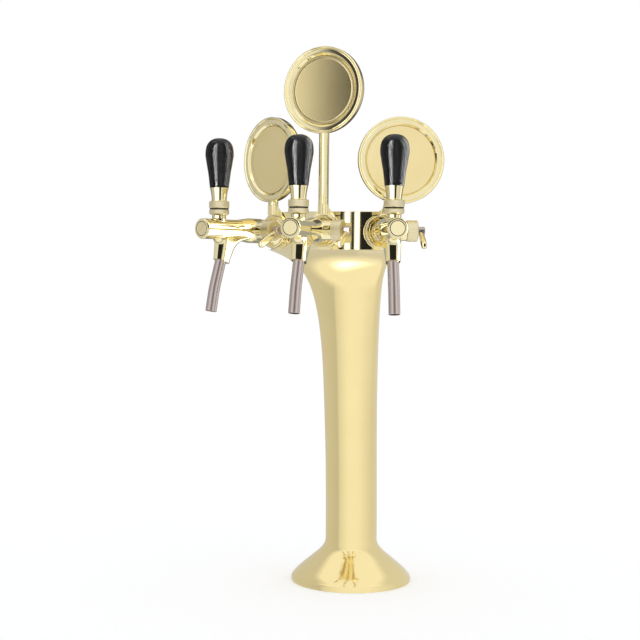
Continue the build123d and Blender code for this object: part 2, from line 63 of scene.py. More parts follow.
def add_nodes(tree, **kinds):
    """Puts nodes into a tree by name and gives them back in order."""
    made = []
    for name, kind in kinds.items():
        node = tree.nodes.new(kind)
        node.name = name
        made.append(node)
    return made


def calc(tree, operation, first, second=0.0, clamp=False):
    """Math node on two sockets or numbers; gives its output."""
    node = tree.nodes.new("ShaderNodeMath")
    node.operation = operation
    node.use_clamp = clamp
    for socket, value in zip(node.inputs, (first, second)):
        if isinstance(value, (int, float)):
            socket.default_value = value
        else:
            tree.links.new(value, socket)
    return node.outputs[0]


def ramp(tree, factor, stops, ease="LINEAR"):
    """Colour ramp with (position, colour) stops; gives its output."""
    node = tree.nodes.new("ShaderNodeValToRGB")
    node.color_ramp.interpolation = ease
    elements = node.color_ramp.elements
    while len(elements) < len(stops):
        elements.new(0.5)
    for element, (position, colour) in zip(elements, stops):
        element.position = position
        element.color = (colour,) * 3 + (1.0,) if isinstance(colour, float) else (*colour, 1.0)
    tree.links.new(factor, node.inputs[0])
    return node.outputs[0]


def combine(tree, both, first, second, out):
    """Links two shaders through an Add or a Mix node to an output."""
    tree.links.new(first.outputs[0], both.inputs[-2])
    tree.links.new(second.outputs[0], both.inputs[-1])
    tree.links.new(both.outputs[0], out.inputs[0])


def looked_at(tree):
    """1 for rays that see a surface, also in metal or through glass, and 0 for those that fetch its light."""
    path, = add_nodes(tree, path="ShaderNodeLightPath")
    seen = calc(tree, "MAXIMUM", path.outputs["Is Camera Ray"], path.outputs["Is Glossy Ray"])
    return calc(tree, "MAXIMUM", seen, path.outputs["Is Transmission Ray"])


def new_paint(name):
    """New material; gives it, its shader tree and its main shader."""
    paint = bpy.data.materials.new(name)
    paint.use_nodes = True
    return paint, paint.node_tree, paint.node_tree.nodes["Principled BSDF"]


world = bpy.data.worlds.new("white_room")
scene.world = world
world.use_nodes = True
tree = world.node_tree
tree.nodes.clear()
room, white, mix, out = add_nodes(
    tree, room="ShaderNodeBackground", white="ShaderNodeBackground", mix="ShaderNodeMixShader",
    out="ShaderNodeOutputWorld")
room.inputs["Color"].default_value = (0.97, 0.98, 1.0, 1.0)
room.inputs["Strength"].default_value = 0.9
white.inputs["Color"].default_value = (1.0, 1.0, 1.0, 1.0)
tree.links.new(looked_at(tree), mix.inputs[0])
combine(tree, mix, room, white, out)

FLOOR_GLOW = 0.16
bpy.ops.mesh.primitive_plane_add(size=12.0)
floor = bpy.context.object
floor.name = "floor"
floor.visible_glossy = False
paint, tree, shader = new_paint("floor_paint")
shader.inputs["Base Color"].default_value = (0.97, 0.97, 0.97, 1.0)
shader.inputs["Roughness"].default_value = 0.9
shader.inputs["Specular IOR Level"].default_value = 0.0
glow, both = add_nodes(tree, glow="ShaderNodeEmission", both="ShaderNodeAddShader")
tree.links.new(calc(tree, "MULTIPLY", looked_at(tree), FLOOR_GLOW), glow.inputs["Strength"])
combine(tree, both, shader, glow, tree.nodes["Material Output"])
floor.data.materials.append(paint)

LIGHT_Z = 0.461
ROOM_H = 12.0
BACKING_R = 3.4
STEEPEST = 1.5
# the papers end softly, where steep rays begin to see the plain room above and below them
ENDS = [(0.0, 0.0), (0.05, 0.0), (0.2, 1.0), (0.8, 1.0), (0.95, 0.0), (1.0, 0.0)]


def blend(tree, factor, first, second, way="MIX"):
    """Mixes two colours by a factor; gives the output."""
    node = tree.nodes.new("ShaderNodeMix")
    node.data_type = "RGBA"
    node.blend_type = way
    if isinstance(factor, float):
        node.inputs["Factor"].default_value = factor
    else:
        tree.links.new(factor, node.inputs["Factor"])
    for value, name in ((first, "A"), (second, "B")):
        socket = [s for s in node.inputs if s.name == name and s.type == "RGBA"][0]
        tree.links.new(value, socket)
    return [s for s in node.outputs if s.type == "RGBA"][0]


def slope_of(tree, height, radius):
    """Slope of a ray that lands on a wall: 0 where it falls 1.5 in 1, 0.5 where it is level, 1 where it climbs."""
    slope = calc(tree, "MULTIPLY_ADD", calc(tree, "SUBTRACT", height, LIGHT_Z), 1 / (2 * STEEPEST * radius))
    slope.node.inputs[2].default_value = 0.5
    return slope


def by_slope(stops):
    """Ramp stops from (slope, value) ones."""
    return [(0.5 + slope / (2 * STEEPEST), value) for slope, value in stops]


def by_degrees(stops):
    """Ramp stops from ones in degrees from the camera's side."""
    return [(0.5 + degrees / 360.0, value) for degrees, value in stops]


def round_wall(name, radius):
    """Round wall about the tower with a bare paint; gives it and the paint's shader tree."""
    bpy.ops.mesh.primitive_cylinder_add(vertices=120, radius=radius, depth=ROOM_H, end_fill_type="NOTHING")
    wall = bpy.context.object
    wall.name = name
    return wall, bare_paint(wall)


def bare_paint(wall):
    """Gives a wall or a sheet its own paint with nothing in it yet; gives its shader tree."""
    paint = new_paint(wall.name)[0]
    paint.node_tree.nodes.clear()
    wall.data.materials.append(paint)
    return paint.node_tree


def hang(wall):
    """Leaves a wall or a sheet to mirrors alone."""
    wall.visible_camera = False
    wall.visible_diffuse = False
    wall.visible_shadow = False
    wall.visible_transmission = False


def lit_by(wall, tree, glow):
    """Lets a paper light one collection of pieces and nothing else; gives the collection."""
    clear, both, out = add_nodes(
        tree, clear="ShaderNodeBsdfTransparent", both="ShaderNodeAddShader", out="ShaderNodeOutputMaterial")
    combine(tree, both, clear, glow, out)
    pieces = bpy.data.collections.new(f"lit_by_{wall.name}")
    wall.light_linking.receiver_collection = pieces
    hang(wall)
    return pieces


def paper_room(name, radius, stops, rows=(), upper=(), upper_from=0.085):
    """Round wall of lit paper for one group of pieces; gives the collection of the pieces that mirror it.

    Stops are (degrees from the camera's side, brightness), and upper holds those for rays that climb more
    steeply than upper_from. Rows are (slope of the ray, brightness).
    """
    wall, tree = round_wall(f"{name}_paper", radius)
    place, turn, split, glow = add_nodes(
        tree, place="ShaderNodeTexCoord", turn="ShaderNodeMapping", split="ShaderNodeSeparateXYZ",
        glow="ShaderNodeEmission")
    turn.inputs["Rotation"].default_value[2] = math.radians(-CAMERA_AZIMUTH)
    tree.links.new(place.outputs["Object"], turn.inputs[0])
    tree.links.new(turn.outputs[0], split.inputs[0])
    # along runs from 0 behind the tower, past the left, the camera's side at 0.5 and the right, to 1 behind it
    back = calc(tree, "MULTIPLY", split.outputs["Y"], -1.0)
    along = calc(tree, "MULTIPLY_ADD", calc(tree, "ARCTAN2", split.outputs["X"], back), 0.5 / math.pi)
    along.node.inputs[2].default_value = 0.5
    shade = ramp(tree, along, by_degrees(stops))
    slope = slope_of(tree, split.outputs["Z"], radius)
    if upper:
        high = ramp(tree, slope, by_slope([(upper_from - 0.02, 0.0), (upper_from + 0.02, 1.0)]))
        shade = blend(tree, high, shade, ramp(tree, along, by_degrees(upper)))
    if rows:
        shade = blend(tree, 1.0, shade, ramp(tree, slope, by_slope(rows)), "MULTIPLY")
    tree.links.new(blend(tree, 1.0, shade, ramp(tree, slope, ENDS), "MULTIPLY"), glow.inputs["Color"])
    return lit_by(wall, tree, glow)


# A black backing stands behind all the papers, so that only the room above and below shines past them.
backing, tree = round_wall("black_backing", BACKING_R)
place, split, black, clear, mix, out = add_nodes(
    tree, place="ShaderNodeTexCoord", split="ShaderNodeSeparateXYZ", black="ShaderNodeEmission",
    clear="ShaderNodeBsdfTransparent", mix="ShaderNodeMixShader", out="ShaderNodeOutputMaterial")
black.inputs["Strength"].default_value = 0.0
tree.links.new(place.outputs["Object"], split.inputs[0])
tree.links.new(ramp(tree, slope_of(tree, split.outputs["Z"], BACKING_R), ENDS), mix.inputs[0])
combine(tree, mix, clear, black, out)
hang(backing)

# ------------------------------------------------------------------ foot and column
# One polished brass casting: a trumpet foot, a round column that leans forward, and a flare that opens
# into the fan-shaped shoulder under the head. It is hollow from the foot to the mouth in the shoulder.
FAN_Y = 42.0
LIP_R = 176.0
LIP_CORNER_R = 19.0
CORNER_ANGLE = math.radians(24.8)
BACK_R = 31.0
FAN_MIDDLE_Y = -80.0
COLUMN_R = 34.2
COLUMN_LEAN = 8.0
LEAN_H = 220.0
FOOT_TOP_Z = 56.0
FLARE_START_Z = 150.0
SHOULDER_Z = 439.0
SHELL_T = 3.2
SHOULDER_T = 3.0
EDGE_R = 1.3
MOUTH_INSET = 12.0
SPOKES = 180


def corner_centre():
    """Centre of the fan's right front corner."""
    reach = LIP_R - LIP_CORNER_R
    return reach * math.sin(CORNER_ANGLE), FAN_Y - reach * math.cos(CORNER_ANGLE)


def fan_support(angle):
    """How far the lip reaches in a direction, from the column's axis."""
    cx, cy = corner_centre()
    nx, ny = math.cos(angle), math.sin(angle)
    reach = max(BACK_R, abs(nx) * cx + ny * cy + LIP_CORNER_R)
    if math.atan2(abs(nx), -ny) < CORNER_ANGLE:
        reach = max(reach, ny * FAN_Y + LIP_R)
    return reach


def fan_radius(angle):
    """Distance from the fan's middle to the lip, in a direction."""
    best = 1e9
    for step in range(-88, 89):
        tilt = math.radians(step)
        normal = angle + tilt
        best = min(best, (fan_support(normal) - math.sin(normal) * FAN_MIDDLE_Y) / math.cos(tilt))
    return best


FAN_RADII = [fan_radius(2 * math.pi * k / SPOKES) for k in range(SPOKES)]


def lean(z):
    """Forward lean of the round column at a height."""
    t = min(max((z - FOOT_TOP_Z) / LEAN_H, 0.0), 1.0)
    return -COLUMN_LEAN * t * t * (3 - 2 * t)


def fan_share(z):
    """0 where the column is round, 1 where it has the fan's outline."""
    t = max(z - FLARE_START_Z, 0.0) / (SHOULDER_Z - FLARE_START_Z)
    return 0.13 * t ** 1.5 + 0.4 * t ** 5 + 0.47 * t ** 20


def column_ring(z, share, inset):
    """Points of one level of the casting, in metres."""
    centre_y = (1 - share) * lean(z) + share * FAN_MIDDLE_Y
    ring = []
    for k in range(SPOKES):
        angle = 2 * math.pi * k / SPOKES
        radius = (1 - share) * COLUMN_R + share * FAN_RADII[k] - inset
        ring.append(Vector((radius * math.cos(angle), centre_y + radius * math.sin(angle), z)) * MM)
    return ring


def foot_ring(radius, z):
    """Points of one round level of the foot, in metres."""
    turns = [2 * math.pi * k / SPOKES for k in range(SPOKES)]
    return [Vector((radius * math.cos(a), radius * math.sin(a), z)) * MM for a in turns]


def smooth_line(points, steps, first, last):
    """Dense points on a smooth curve through (radius, height) points, with given end directions."""
    knots = [Vector(p) for p in points]
    slopes = [(c - a).normalized() for a, c in zip(knots, knots[2:])]
    slopes = [Vector(first), *slopes, Vector(last)]
    line = []
    for (a, b), (s, e) in zip(zip(knots, knots[1:]), zip(slopes, slopes[1:])):
        reach = (b - a).length
        for k in range(steps):
            t = k / steps
            line.append((2 * t ** 3 - 3 * t ** 2 + 1) * a + (t ** 3 - 2 * t ** 2 + t) * reach * s
                        + (3 * t ** 2 - 2 * t ** 3) * b + (t ** 3 - t ** 2) * reach * e)
    return [*line, knots[-1]]


def round_edge(radius, height, size, start, end, steps=5):
    """(radius, height) points round an edge, about a centre, between two angles in degrees."""
    angles = [math.radians(start + (end - start) * k / steps) for k in range(steps + 1)]
    return [(radius + size * math.cos(a), height + size * math.sin(a)) for a in angles]


def close_seams(gap):
    """Merges the edited piece's doubled points, turns its faces outwards and leaves edit mode."""
    bpy.ops.mesh.select_all(action="SELECT")
    bpy.ops.mesh.remove_doubles(threshold=gap)
    bpy.ops.mesh.normals_make_consistent(inside=False)
    bpy.ops.object.mode_set(mode="OBJECT")


def stacked(name, rings, capped=False):
    """A skin through rings of points: a circle extruded level by level, each level moved to its ring."""
    bpy.ops.object.select_all(action="DESELECT")
    bpy.ops.mesh.primitive_circle_add(vertices=len(rings[0]), radius=0.1,
                                      fill_type="NGON" if capped else "NOTHING")
    piece = bpy.context.object
    piece.name = name
    bpy.ops.object.mode_set(mode="EDIT")
    bpy.ops.mesh.select_all(action="SELECT")
    for _ in rings[1:]:
        bpy.ops.mesh.extrude_edges_move()
    if capped:
        bpy.ops.mesh.edge_face_add()
    bpy.ops.object.mode_set(mode="OBJECT")
    count = len(rings[0])
    for level, ring in enumerate(rings):
        for k, point in enumerate(ring):
            piece.data.vertices[level * count + k].co = point
    bpy.ops.object.mode_set(mode="EDIT")
    close_seams(1e-6)
    return piece


def effect(name, inputs, outputs):
    """Empty shader group with named number inputs and outputs; gives the group, its inputs and outputs."""
    group = bpy.data.node_groups.new(name, "ShaderNodeTree")
    for label, default in inputs:
        socket = group.interface.new_socket(label, in_out="INPUT", socket_type="NodeSocketFloat")
        socket.default_value = default
    for label in outputs:
        group.interface.new_socket(label, in_out="OUTPUT", socket_type="NodeSocketFloat")
    given, result = add_nodes(group, given="NodeGroupInput", result="NodeGroupOutput")
    return group, given.outputs, result.inputs


def noise(tree, size, detail=3.0, roughness=0.5, stretch=(1.0, 1.0, 1.0)):
    """Noise on Object coordinates, about size metres coarse; gives its value."""
    place, turn, grain = add_nodes(
        tree, place="ShaderNodeTexCoord", turn="ShaderNodeMapping", grain="ShaderNodeTexNoise")
    turn.inputs["Scale"].default_value = stretch
    grain.inputs["Scale"].default_value = 1.0 / size
    grain.inputs["Detail"].default_value = detail
    grain.inputs["Roughness"].default_value = roughness
    tree.links.new(place.outputs["Object"], turn.inputs[0])
    tree.links.new(turn.outputs[0], grain.inputs["Vector"])
    return grain.outputs[0]


# Buffed metal: slow haze, a slight orange-peel swell, and hairlines left by the buffing wheel.
buffing, given, result = effect("buffing", [("Roughness", 0.08), ("Haze", 0.05), ("Swell", 0.3)],
                                ["Roughness", "Height"])
haze = noise(buffing, 0.035, 4.0, 0.6)
hairs = noise(buffing, 0.0011, 2.0, 0.5, (1.0, 1.0, 0.06))
swell = noise(buffing, 0.012, 1.0, 0.4)
dull = calc(buffing, "ADD", haze, calc(buffing, "MULTIPLY", hairs, 0.35))
dull = calc(buffing, "MULTIPLY", dull, given["Haze"])
buffing.links.new(calc(buffing, "ADD", dull, given["Roughness"], True), result["Roughness"])
lift = calc(buffing, "MULTIPLY", swell, given["Swell"])
lift = calc(buffing, "ADD", lift, calc(buffing, "MULTIPLY", hairs, 0.02))
buffing.links.new(lift, result["Height"])


def rough_skin(tree, shader, height, depth, strength=1.0):
    """Bumps under a shader, up to depth metres deep."""
    bumps, = add_nodes(tree, bumps="ShaderNodeBump")
    bumps.inputs["Distance"].default_value = depth
    bumps.inputs["Strength"].default_value = strength
    tree.links.new(height, bumps.inputs["Height"])
    tree.links.new(bumps.outputs[0], shader.inputs["Normal"])


def metal(name, colour, deep, roughness, haze, swell, bump):
    """Buffed metal whose colour drifts a little between two tones."""
    paint, tree, shader = new_paint(name)
    shader.inputs["Metallic"].default_value = 1.0
    polish, = add_nodes(tree, polish="ShaderNodeGroup")
    polish.node_tree = buffing
    polish.inputs["Roughness"].default_value = roughness
    polish.inputs["Haze"].default_value = haze
    polish.inputs["Swell"].default_value = swell
    tree.links.new(polish.outputs["Roughness"], shader.inputs["Roughness"])
    rough_skin(tree, shader, polish.outputs["Height"], bump, 0.6)
    tree.links.new(ramp(tree, noise(tree, 0.05, 3.0), [(0.3, deep), (0.7, colour)]), shader.inputs["Base Color"])
    return paint


GOLD = (0.955, 0.800, 0.415)
polished_gold = metal("polished_gold", GOLD, (0.935, 0.775, 0.390), 0.07, 0.05, 0.2, 0.00002)

outer_foot = smooth_line([(79.5, 4.5), (76.8, 9.0), (71.0, 15.4), (52.0, 31.6), (42.5, 39.8), (36.2, 47.8),
                          (34.2, 56.0)], 8, (0.0, 1.0), (0.0, 1.0))
inner_foot = smooth_line([(76.3, 2.9), (73.6, 7.4), (68.8, 13.2), (50.0, 29.1), (40.1, 37.6), (33.2, 46.5),
                          (31.0, 56.0)], 4, (0.0, 1.0), (0.0, 1.0))
foot_edge = [(76.3, 0.0), (78.9, 0.0), (79.35, 0.2), (79.5, 0.7), (79.5, 2.5)]
rings = [foot_ring(r, z) for r, z in foot_edge + outer_foot[:-1]]
heights = [FOOT_TOP_Z + (FLARE_START_Z - FOOT_TOP_Z) * k / 10 for k in range(10)]
heights += [FLARE_START_Z + (SHOULDER_Z - FLARE_START_Z) * (1 - (1 - k / 110) ** 1.6) for k in range(110)]
rings += [column_ring(z, fan_share(z), 0.0) for z in heights if z < SHOULDER_Z - EDGE_R]
rings += [column_ring(z, fan_share(z), EDGE_R - x)
          for x, z in round_edge(0.0, SHOULDER_Z - EDGE_R, EDGE_R, 0, 90)]
rings += [column_ring(SHOULDER_Z, 1.0, MOUTH_INSET - 0.5), column_ring(SHOULDER_Z - 0.5, 1.0, MOUTH_INSET),
          column_ring(SHOULDER_Z - SHOULDER_T, 1.0, MOUTH_INSET)]
for z in reversed(heights):
    if z <= SHOULDER_Z - SHOULDER_T:
        rings.append(column_ring(z, fan_share(z - SHOULDER_T if z > FLARE_START_Z else z), SHELL_T))
rings += [foot_ring(r, z) for r, z in reversed(foot_edge[:1] + inner_foot[:-1])]
column_skin = stacked("column_skin", rings)


def pick(first, *others):
    """Selects these pieces alone and makes the first one active."""
    bpy.ops.object.select_all(action="DESELECT")
    for piece in (first, *others):
        piece.select_set(True)
    bpy.context.view_layer.objects.active = first


def dress(piece, body, nodes, paint, angle=40.0):
    """Shades a piece with flat faces kept flat, gives it its finish, and sets it on its body for the CAD nodes."""
    pick(piece)
    bpy.ops.object.shade_smooth_by_angle(angle=math.radians(angle))
    even = piece.modifiers.new("even", "WEIGHTED_NORMAL")
    even.keep_sharp = True
    bpy.ops.object.modifier_apply(modifier="even")
    piece.data.materials.clear()
    piece.data.materials.append(paint)
    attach(piece, body)
    if nodes:
        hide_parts(*nodes)


dress(column_skin, "tower", ["column_shell"], polished_gold)
column_skin.visible_glossy = False  # the taps and the flare mirror the room, not the casting
COLUMN_ROOM_R = 3.0
by_column = paper_room("column", COLUMN_ROOM_R, [
    (-180, 0.64), (-110, 0.66), (-60, 0.61), (-55, 0.77), (-36, 0.89), (-16, 0.98), (0, 1.00), (34, 0.98), (60, 0.88),
    (100, 0.75), (180, 0.72)])
by_column.objects.link(column_skin)

# A sheet far below closes the column's room. Its bright patch is the soft light on the underside of the flare.
SHEET_Z = -4.5
PATCH_AT = (-0.85, 1.5, SHEET_Z)
PATCH_SIZE = (1.3, 2.3, 1.0)
bpy.ops.mesh.primitive_circle_add(vertices=60, radius=COLUMN_ROOM_R, fill_type="NGON")
sheet = bpy.context.object
sheet.name = "flare_paper"
sheet.data.transform(Matrix.Translation((0, 0, SHEET_Z)))
tree = bare_paint(sheet)
place, patch, fade, glow = add_nodes(
    tree, place="ShaderNodeTexCoord", patch="ShaderNodeMapping", fade="ShaderNodeTexGradient",
    glow="ShaderNodeEmission")
patch.vector_type = "TEXTURE"
patch.inputs["Location"].default_value = PATCH_AT
patch.inputs["Scale"].default_value = PATCH_SIZE
fade.gradient_type = "SPHERICAL"
tree.links.new(place.outputs["Object"], patch.inputs[0])
tree.links.new(patch.outputs[0], fade.inputs[0])
tree.links.new(ramp(tree, fade.outputs["Fac"], [(0.0, 0.0), (0.3, 0.25), (0.8, 1.5)]), glow.inputs["Color"])
lit_by(sheet, tree, glow).objects.link(column_skin)

# ------------------------------------------------------------------ base
# A plain steel ring is screwed up into the foot and takes the counter bolts. A soft ring lies under it.
# Both are turned flat parts, held by four cap screws.
brushed_steel = metal("brushed_steel", (0.62, 0.53, 0.50), (0.56, 0.475, 0.445), 0.20, 0.10, 0.1, 0.00001)
# Black rubber for the seal rings and the gasket. The same black also paints shade: the thin ring in each handle that
# stands in for a shadow line.
rubber, tree, shader = new_paint("seal_rubber_and_shade_black")
shader.inputs["Specular IOR Level"].default_value = 0.35
pores = noise(tree, 0.0006, 2.0)
tree.links.new(ramp(tree, noise(tree, 0.006, 3.0), [(0.3, (0.012, 0.012, 0.012)), (0.7, (0.022, 0.021, 0.020))]),
               shader.inputs["Base Color"])
dull = calc(tree, "MULTIPLY_ADD", pores, 0.25)
dull.node.inputs[2].default_value = 0.55
tree.links.new(dull, shader.inputs["Roughness"])
rough_skin(tree, shader, pores, 0.00004)


def coat(paint, *nodes):
    """Gives CAD nodes a finish in place of their plain one."""
    for node in nodes:
        by_column.objects.link(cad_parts[node])
        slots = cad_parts[node].data.materials
        if len(slots):
            for k in range(len(slots)):
                slots[k] = paint
        else:
            slots.append(paint)


coat(brushed_steel, "base_ring", "ring_screws")
coat(rubber, "base_gasket")

# ------------------------------------------------------------------ inside
# Three plastic beer lines run up from the foot to the barbs of the shanks, with a steel loop of chilled
# water beside them. The shanks, nuts and clamps are plain machined parts behind the head wall.
raw_brass = metal("machined_brass", (0.72, 0.50, 0.22), (0.60, 0.41, 0.17), 0.22, 0.15, 0.1, 0.00003)
hose, tree, shader = new_paint("line_plastic")
shader.inputs["Subsurface Weight"].default_value = 0.1
tree.links.new(ramp(tree, noise(tree, 0.02, 3.0), [(0.3, (0.70, 0.69, 0.64)), (0.7, (0.80, 0.79, 0.75))]),
               shader.inputs["Base Color"])
tree.links.new(ramp(tree, noise(tree, 0.004, 2.0), [(0.2, 0.32), (0.8, 0.45)]), shader.inputs["Roughness"])
coat(raw_brass, "tap_shanks", "shank_nuts")
coat(brushed_steel, "cooling_loop", "hose_clamps")
coat(hose, "beer_lines")
for node in ("base_ring", "ring_screws", "base_gasket", "beer_lines", "cooling_loop"):
    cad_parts[node].visible_glossy = False
for side in ("left", "middle", "right"):
    coat(brushed_steel, f"{side}_plunger", f"{side}_flow_cone")

# ------------------------------------------------------------------ head
# A band of polished brass stands on the shoulder, 5 mm in from the lip, and follows the same fan outline.
# A flat lid closes it, and each tap sits on a round flat pad that stands out of the band.
tap_gold = metal("tap_gold", (0.94, 0.84, 0.52), (0.92, 0.815, 0.485), 0.02, 0.04, 0.25, 0.00002)
WALL_INSET = 5.0
WALL_T = 4.0
LID_Z = 483.0
LID_TOP_Z = 486.0
LID_EDGE_R = 0.8
SCREW_INSET = 13.0
BACK_SCREW = (0.0, 17.5)
PAD_R = 22.0
PAD_FACE_R = 172.0
TAP_ANGLE = 23.5
TAP_Z = 461.0
FLANGE_PLANE_R = 177.5
SIDES = {"left": -1, "middle": 0, "right": 1}


def fan_outline(inset, arc=28, straight=16):
    """Points along the fan's outline set in from the lip: back, side, corner, front, corner, side."""
    cx, cy = corner_centre()
    back_r, corner_r = BACK_R - inset, LIP_CORNER_R - inset
    drop = back_r - corner_r
    tilt = math.atan2(cy, cx) + math.pi / 2 + math.atan2(drop, math.sqrt(cx * cx + cy * cy - drop * drop))
    front = CORNER_ANGLE - math.pi / 2
    half = []
    for k in range(arc):
        a = math.pi / 2 + (tilt - math.pi / 2) * k / arc
        half.append((back_r * math.cos(a), back_r * math.sin(a)))
    for k in range(straight):
        a = Vector((back_r * math.cos(tilt), back_r * math.sin(tilt)))
        b = Vector((cx + corner_r * math.cos(tilt), cy + corner_r * math.sin(tilt)))
        half.append(tuple(a.lerp(b, k / straight)))
    for k in range(arc):
        a = tilt + (front - tilt) * k / arc
        half.append((cx + corner_r * math.cos(a), cy + corner_r * math.sin(a)))
    for k in range(arc):
        a = CORNER_ANGLE * (1 - k / arc)
        reach = LIP_R - inset
        half.append((reach * math.sin(a), FAN_Y - reach * math.cos(a)))
    half.append((0.0, FAN_Y - LIP_R + inset))
    return half[1:-1] + [half[-1]] + [(-x, y) for x, y in reversed(half[1:-1])] + [half[0]]


def fan_level(inset, z):
    """One level of the head: the fan's outline at a height, in metres."""
    return [Vector((x, y, z)) * MM for x, y in fan_outline(inset)]


def tap_frame(i):
    """Matrix of a tap: x to its right, -y forward from its flange, z up from its barrel's axis."""
    return (Matrix.Translation((0, FAN_Y * MM, TAP_Z * MM)) @ Matrix.Rotation(math.radians(i * TAP_ANGLE), 4, "Z")
            @ Matrix.Translation((0, -FLANGE_PLANE_R * MM, 0)))


FORWARD = Matrix.Rotation(math.radians(90), 4, "X")
SIDEWAYS = Matrix.Rotation(math.radians(90), 4, "Y")


def lathe(name, outline, place=Matrix(), segments=96, pole=False, ring=False):
    """Turned piece: a circle about Z extruded along (radius, height) points in mm, then set in place.

    It is capped flat at both ends, or drawn in to a point at the last with pole, or left as a ring."""
    bpy.ops.object.select_all(action="DESELECT")
    radius, height = outline[0]
    bpy.ops.mesh.primitive_circle_add(vertices=segments, radius=radius * MM, location=(0, 0, height * MM),
                                      fill_type="NOTHING" if ring else "NGON")
    piece = bpy.context.object
    piece.name = name
    bpy.ops.object.transform_apply()
    bpy.ops.object.mode_set(mode="EDIT")
    bpy.ops.mesh.select_all(action="SELECT")
    for (r0, z0), (r1, z1) in zip(outline, outline[1:]):
        bpy.ops.mesh.extrude_edges_move(TRANSFORM_OT_translate={"value": (0, 0, (z1 - z0) * MM)})
        bpy.ops.transform.resize(value=(r1 / r0, r1 / r0, 1), center_override=(0, 0, z1 * MM))
    if pole:
        bpy.ops.mesh.merge(type="CENTER")
    elif not ring:
        bpy.ops.mesh.edge_face_add()
    close_seams(2e-6)
    piece.data.transform(place)
    return piece


def join(first, *others):
    """Joins pieces into the first one."""
    pick(first, *others)
    bpy.ops.object.join()
    return first


def carve(piece, tool, operation="DIFFERENCE"):
    """Cuts a tool out of a piece, or adds it, and removes the tool."""
    pick(piece)
    cut = piece.modifiers.new("cut", "BOOLEAN")
    cut.operation = operation
    cut.solver = "EXACT"
    cut.object = tool
    bpy.ops.object.modifier_apply(modifier="cut")
    bpy.data.objects.remove(tool)
    return piece


rings = [fan_level(WALL_INSET + WALL_T, SHOULDER_Z), fan_level(WALL_INSET, SHOULDER_Z),
         fan_level(WALL_INSET, LID_Z), fan_level(WALL_INSET + WALL_T, LID_Z),
         fan_level(WALL_INSET + WALL_T, SHOULDER_Z)]
head_band = stacked("head_band", rings)
for i in SIDES.values():
    seat = PAD_FACE_R - FLANGE_PLANE_R
    pad = lathe("pad", [(PAD_R, seat - 4.0), (PAD_R, seat - 0.4), (PAD_R - 0.4, seat)], tap_frame(i) @ FORWARD)
    carve(head_band, pad, "UNION")
for i in SIDES.values():
    carve(head_band, lathe("bore", [(8.0, -30.0), (8.0, 0.0)], tap_frame(i) @ FORWARD, segments=64))
dress(head_band, "tower", ["head_wall"], tap_gold, angle=25.0)
by_head = paper_room("head", 3.05, [
    (-180, 0.10), (-140, 0.10), (-120, 0.60), (-60, 0.66), (-36, 0.72), (-26, 0.72), (-24, 0.02), (-17, 0.02),
    (-16, 2.00), (-12, 2.00), (-11, 0.02), (-8, 0.02), (-7, 2.00), (-4, 2.00), (-3, 0.02), (7, 0.02), (9, 0.80),
    (40, 0.90), (75, 0.80), (78, 3.00), (112, 3.00), (116, 0.05), (122, 0.05), (126, 0.70), (140, 0.10),
    (180, 0.10)])
by_head.objects.link(head_band)

levels = [(LID_EDGE_R - x, z) for x, z in round_edge(0.0, LID_TOP_Z - LID_EDGE_R, LID_EDGE_R, 0, 90, 4)]
rings = [fan_level(WALL_INSET, LID_Z)] + [fan_level(WALL_INSET + x, z) for x, z in levels]
lid = stacked("lid", rings, capped=True)
reach, turn = LIP_R - SCREW_INSET, math.radians(TAP_ANGLE / 2)
screw_places = [(s * reach * math.sin(turn), FAN_Y - reach * math.cos(turn)) for s in (-1, 1)]
for x, y in (*screw_places, BACK_SCREW):
    place = Matrix.Translation((x * MM, y * MM, LID_Z * MM))
    carve(lid, lathe("sink", [(2.2, -1.0), (2.2, 0.8), (4.25, 2.85), (4.25, 4.0)], place, segments=48))
dress(lid, "tower", ["head_lid"], tap_gold, angle=25.0)
by_head.objects.link(lid)
coat(tap_gold, "lid_screws")

# ------------------------------------------------------------------ tap bodies
# Each tap is one brass casting: a barrel with a bulge for the compensator, a spout under its front end, a
# curved web behind the spout, a boss on top for the lever and one on the right for the spindle. It is
# bored through, and its corners are soft from casting and polishing.
BULGE_R = 15.2
BARREL_R = 12.25
FRONT_U = 124.0
LEVER_U = 95.0
PIVOT_H = 14.0
SPOUT_U = 91.0
SPOUT_R = 8.5
by_castings = paper_room("castings", 3.1, [
    (-180, 0.40), (-140, 0.40), (-120, 0.70), (-60, 0.68), (-36, 0.74), (7, 0.85), (40, 0.92), (62, 0.85), (66, 0.15),
    (70, 0.15), (74, 3.50), (118, 3.50), (121, 0.05), (125, 0.05), (128, 0.80), (140, 0.40), (180, 0.40)],
    upper=[
        (-180, 0.40), (-140, 0.40), (-120, 0.70), (-52, 0.80), (-46, 0.02), (44, 0.02), (48, 1.00), (62, 0.90),
        (66, 0.15), (70, 0.15), (74, 3.50), (118, 3.50), (121, 0.05), (125, 0.05), (128, 0.80), (140, 0.40),
        (180, 0.40)],
    rows=[(-1.5, 1.0), (-0.80, 1.0), (-0.75, 0.3), (-0.62, 0.3), (-0.57, 1.0), (0.50, 1.0), (0.55, 0.3),
          (0.68, 0.3), (0.73, 1.0), (1.5, 1.0)])
WEB_LINE = [(48.0, -4.0), (56.0, -9.5), (64.5, -11.7), (73.0, -14.0), (79.0, -18.5), (82.8, -23.5), (86.0, -32.0),
            (88.0, -38.0), (88.0, -48.0)]
SPINDLE_U = 37.0
OUTLET_U, OUTLET_H, OUTLET_TILT = 92.0, -38.0, 17.0
OUTLET = (Matrix.Translation((0, -OUTLET_U * MM, OUTLET_H * MM))
          @ Matrix.Rotation(math.radians(180.0 - OUTLET_TILT), 4, "X"))


def at_tap(x, u, h):
    """Shift to a point of a tap: right of its axis, forward of its flange, above its barrel's axis."""
    return Matrix.Translation((x * MM, -u * MM, h * MM))


